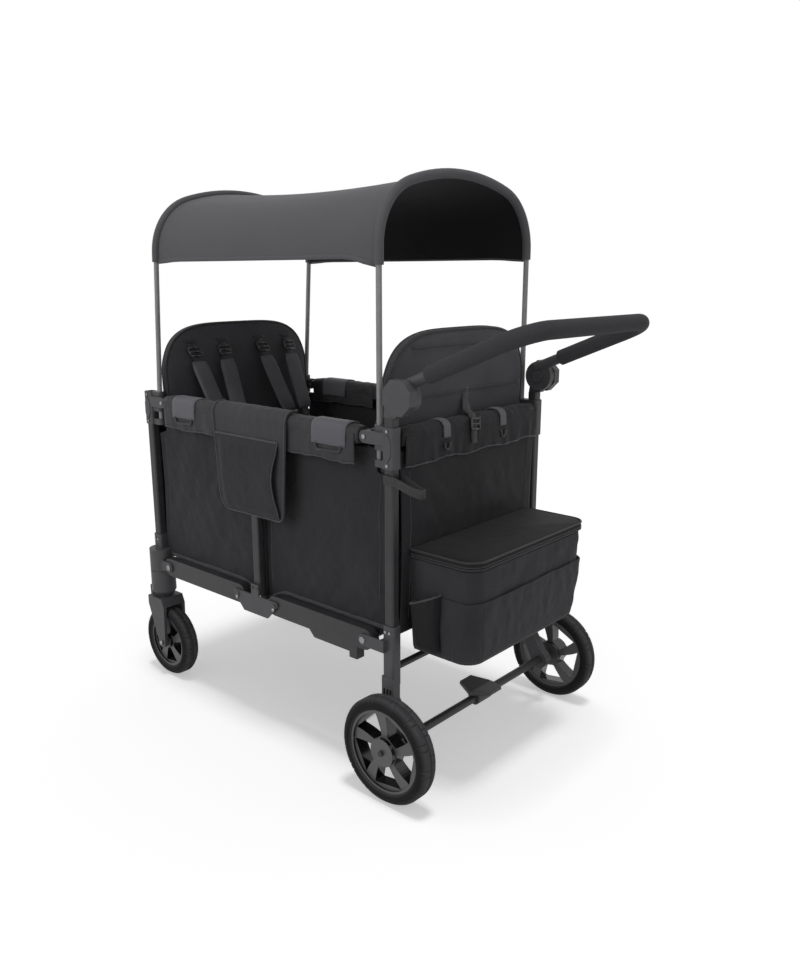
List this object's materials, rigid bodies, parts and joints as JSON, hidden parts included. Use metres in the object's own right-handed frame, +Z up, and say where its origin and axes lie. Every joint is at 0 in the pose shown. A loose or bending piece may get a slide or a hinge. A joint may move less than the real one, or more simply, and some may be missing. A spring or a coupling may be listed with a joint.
{
  "type": "stroller wagon",
  "caption": "Folding stroller wagon with two facing seats, an arched canopy, a pivoting push handle, swivel front casters, a foot brake and a zipped rear basket.",
  "frame": {"origin": "on the ground, midway between the four corner posts", "axes": "+X towards the push handle, +Y to the left when looking along +X, +Z up"},
  "size_m": [1.2785, 0.732, 1.3453],
  "materials": {
    "frame_tube": "satin charcoal powder coat",
    "moulded_plastic": "moulded charcoal plastic, fine grain",
    "tub_fabric": "black woven polyester",
    "floor_cover": "black woven cover over a stiff board",
    "seat_fabric": "black woven polyester with piping",
    "harness_webbing": "grey webbing and pads",
    "canopy_fabric": "dark grey woven polyester",
    "canopy_pole": "satin black",
    "foam_grip": "matte foam",
    "tyre_rubber": "matte rubber with block tread",
    "wheel_rim": "gloss black",
    "rivet_steel": "zinc plated"
  },
  "bodies": {
    "front_end": {"front_posts": "frame_tube", "front_upper_brackets": "moulded_plastic", "front_cross_tubes": "frame_tube", "front_end_panel": "tub_fabric", "front_rail_pad": "tub_fabric", "front_side_panels": "tub_fabric", "front_seat_back": "seat_fabric", "front_harness": "harness_webbing", "front_fasteners": "rivet_steel", "front_caster_housings": "moulded_plastic"},
    "front_seat": {"front_seat_pan": "seat_fabric"},
    "caster_left": {"caster_fork_left": "moulded_plastic"},
    "caster_right": {"caster_fork_right": "moulded_plastic"},
    "lock_left": {"swivel_lock_left": "moulded_plastic"},
    "lock_right": {"swivel_lock_right": "moulded_plastic"},
    "front_wheel_left": {"front_tyre_left": "tyre_rubber", "front_rim_left": "wheel_rim"},
    "front_wheel_right": {"front_tyre_right": "tyre_rubber", "front_rim_right": "wheel_rim"},
    "bottom_front": {"bottom_rails_front": "frame_tube", "floor_board_front": "floor_cover"},
    "centre": {"hinge_plates": "moulded_plastic", "centre_posts": "frame_tube", "floor_strip_centre": "floor_cover", "side_pocket": "tub_fabric", "centre_pads": "tub_fabric"},
    "bottom_rear": {"bottom_rails_rear": "frame_tube", "floor_board_rear": "floor_cover"},
    "rear_end": {"rear_posts": "frame_tube", "rear_upper_brackets": "moulded_plastic", "rear_cross_tubes": "frame_tube", "rear_end_panel": "tub_fabric", "rear_rail_pad": "tub_fabric", "rear_side_panels": "tub_fabric", "rear_seat_back": "seat_fabric", "rear_harness": "harness_webbing", "rear_fasteners": "rivet_steel", "rear_legs": "moulded_plastic", "rear_axle": "frame_tube", "handle_hubs": "moulded_plastic", "basket_shell": "tub_fabric"},
    "rear_seat": {"rear_seat_pan": "seat_fabric"},
    "top_front": {"top_rails_front": "frame_tube", "top_pads_front": "tub_fabric"},
    "top_rear": {"top_rails_rear": "frame_tube", "top_pads_rear": "tub_fabric"},
    "handle": {"handle_sockets": "moulded_plastic", "handle_bar": "frame_tube", "handle_grip": "foam_grip"},
    "button_left": {"handle_button_left": "moulded_plastic"},
    "button_right": {"handle_button_right": "moulded_plastic"},
    "rear_wheel_left": {"rear_tyre_left": "tyre_rubber", "rear_rim_left": "wheel_rim"},
    "rear_wheel_right": {"rear_tyre_right": "tyre_rubber", "rear_rim_right": "wheel_rim"},
    "brake": {"brake_pedal": "moulded_plastic"},
    "lid": {"basket_lid": "tub_fabric"},
    "canopy_front": {"canopy_arch_front": "canopy_pole", "canopy_cloth": "canopy_fabric"},
    "canopy_rear": {"canopy_arch_rear": "canopy_pole"}
  },
  "joints": [
    {"name": "fold", "type": "hinge", "parent": "front_end", "child": "bottom_front", "pos_m": [-0.372, 0, 0.33], "axis": [0, -1, 0], "range_deg": [0, 65]},
    {"name": "centre_level", "type": "hinge", "parent": "bottom_front", "child": "centre", "pos_m": [-0.07, 0, 0.33], "axis": [0, -1, 0], "range_deg": [-65, 0]},
    {"name": "rear_rail_fold", "type": "hinge", "parent": "centre", "child": "bottom_rear", "pos_m": [0.07, 0, 0.33], "axis": [0, -1, 0], "range_deg": [-65, 0]},
    {"name": "rear_end_level", "type": "hinge", "parent": "bottom_rear", "child": "rear_end", "pos_m": [0.372, 0, 0.33], "axis": [0, -1, 0], "range_deg": [0, 65]},
    {"name": "top_front_fold", "type": "hinge", "parent": "front_end", "child": "top_front", "pos_m": [-0.372, 0, 0.79], "axis": [0, -1, 0], "range_deg": [0, 65]},
    {"name": "top_rear_fold", "type": "hinge", "parent": "rear_end", "child": "top_rear", "pos_m": [0.372, 0, 0.79], "axis": [0, 1, 0], "range_deg": [0, 65]},
    {"name": "front_seat_lift", "type": "hinge", "parent": "front_end", "child": "front_seat", "pos_m": [-0.3678, 0, 0.58], "axis": [0, -1, 0], "range_deg": [0, 70]},
    {"name": "rear_seat_lift", "type": "hinge", "parent": "rear_end", "child": "rear_seat", "pos_m": [0.3678, 0, 0.58], "axis": [0, 1, 0], "range_deg": [0, 70]},
    {"name": "canopy_lift", "type": "slide", "parent": "front_end", "child": "canopy_front", "axis": [0, 0, 1], "range_m": [0, 0.08]},
    {"name": "canopy_lift_rear", "type": "slide", "parent": "rear_end", "child": "canopy_rear", "axis": [0, 0, 1], "range_m": [0, 0.08]},
    {"name": "handle_pitch", "type": "hinge", "parent": "rear_end", "child": "handle", "pos_m": [0.462, 0, 0.879], "axis": [0, -1, 0], "range_deg": [-65, 60]},
    {"name": "button_left_press", "type": "slide", "parent": "handle", "child": "button_left", "axis": [0, 1, 0], "range_m": [0, 0.004], "stiffness_N_per_m": 600, "springref_m": -0.004},
    {"name": "button_right_press", "type": "slide", "parent": "handle", "child": "button_right", "axis": [0, -1, 0], "range_m": [0, 0.004], "stiffness_N_per_m": 600, "springref_m": -0.004},
    {"name": "brake_press", "type": "hinge", "parent": "rear_end", "child": "brake", "pos_m": [0.486, 0, 0.121], "axis": [0, 1, 0], "range_deg": [0, 20]},
    {"name": "lid_open", "type": "hinge", "parent": "rear_end", "child": "lid", "pos_m": [0.4523, 0, 0.545], "axis": [0, -1, 0], "range_deg": [0, 80]},
    {"name": "caster_left_swivel", "type": "hinge", "parent": "front_end", "child": "caster_left", "pos_m": [-0.434, 0.275, 0.25], "axis": [0, 0, 1], "continuous": true},
    {"name": "lock_left_flip", "type": "hinge", "parent": "caster_left", "child": "lock_left", "pos_m": [-0.474, 0.275, 0.208], "axis": [0, -1, 0], "range_deg": [0, 25]},
    {"name": "front_wheel_left_spin", "type": "hinge", "parent": "caster_left", "child": "front_wheel_left", "pos_m": [-0.409, 0.275, 0.1], "axis": [0, 1, 0], "continuous": true},
    {"name": "rear_wheel_left_spin", "type": "hinge", "parent": "rear_end", "child": "rear_wheel_left", "pos_m": [0.486, 0.337, 0.121], "axis": [0, 1, 0], "continuous": true},
    {"name": "caster_right_swivel", "type": "hinge", "parent": "front_end", "child": "caster_right", "pos_m": [-0.434, -0.275, 0.25], "axis": [0, 0, 1], "continuous": true},
    {"name": "lock_right_flip", "type": "hinge", "parent": "caster_right", "child": "lock_right", "pos_m": [-0.474, -0.275, 0.208], "axis": [0, -1, 0], "range_deg": [0, 25]},
    {"name": "front_wheel_right_spin", "type": "hinge", "parent": "caster_right", "child": "front_wheel_right", "pos_m": [-0.409, -0.275, 0.1], "axis": [0, 1, 0], "continuous": true},
    {"name": "rear_wheel_right_spin", "type": "hinge", "parent": "rear_end", "child": "rear_wheel_right", "pos_m": [0.486, -0.337, 0.121], "axis": [0, 1, 0], "continuous": true}
  ],
  "couplings": [
    {"joint": "centre_level", "follows": "fold", "ratio": -1},
    {"joint": "rear_rail_fold", "follows": "fold", "ratio": -1},
    {"joint": "rear_end_level", "follows": "fold", "ratio": 1},
    {"joint": "top_front_fold", "follows": "fold", "ratio": 1},
    {"joint": "top_rear_fold", "follows": "fold", "ratio": 1},
    {"joint": "front_seat_lift", "follows": "fold", "ratio": 1.0764},
    {"joint": "rear_seat_lift", "follows": "fold", "ratio": 1.0764},
    {"joint": "canopy_lift_rear", "follows": "canopy_lift", "ratio": 1}
  ]
}
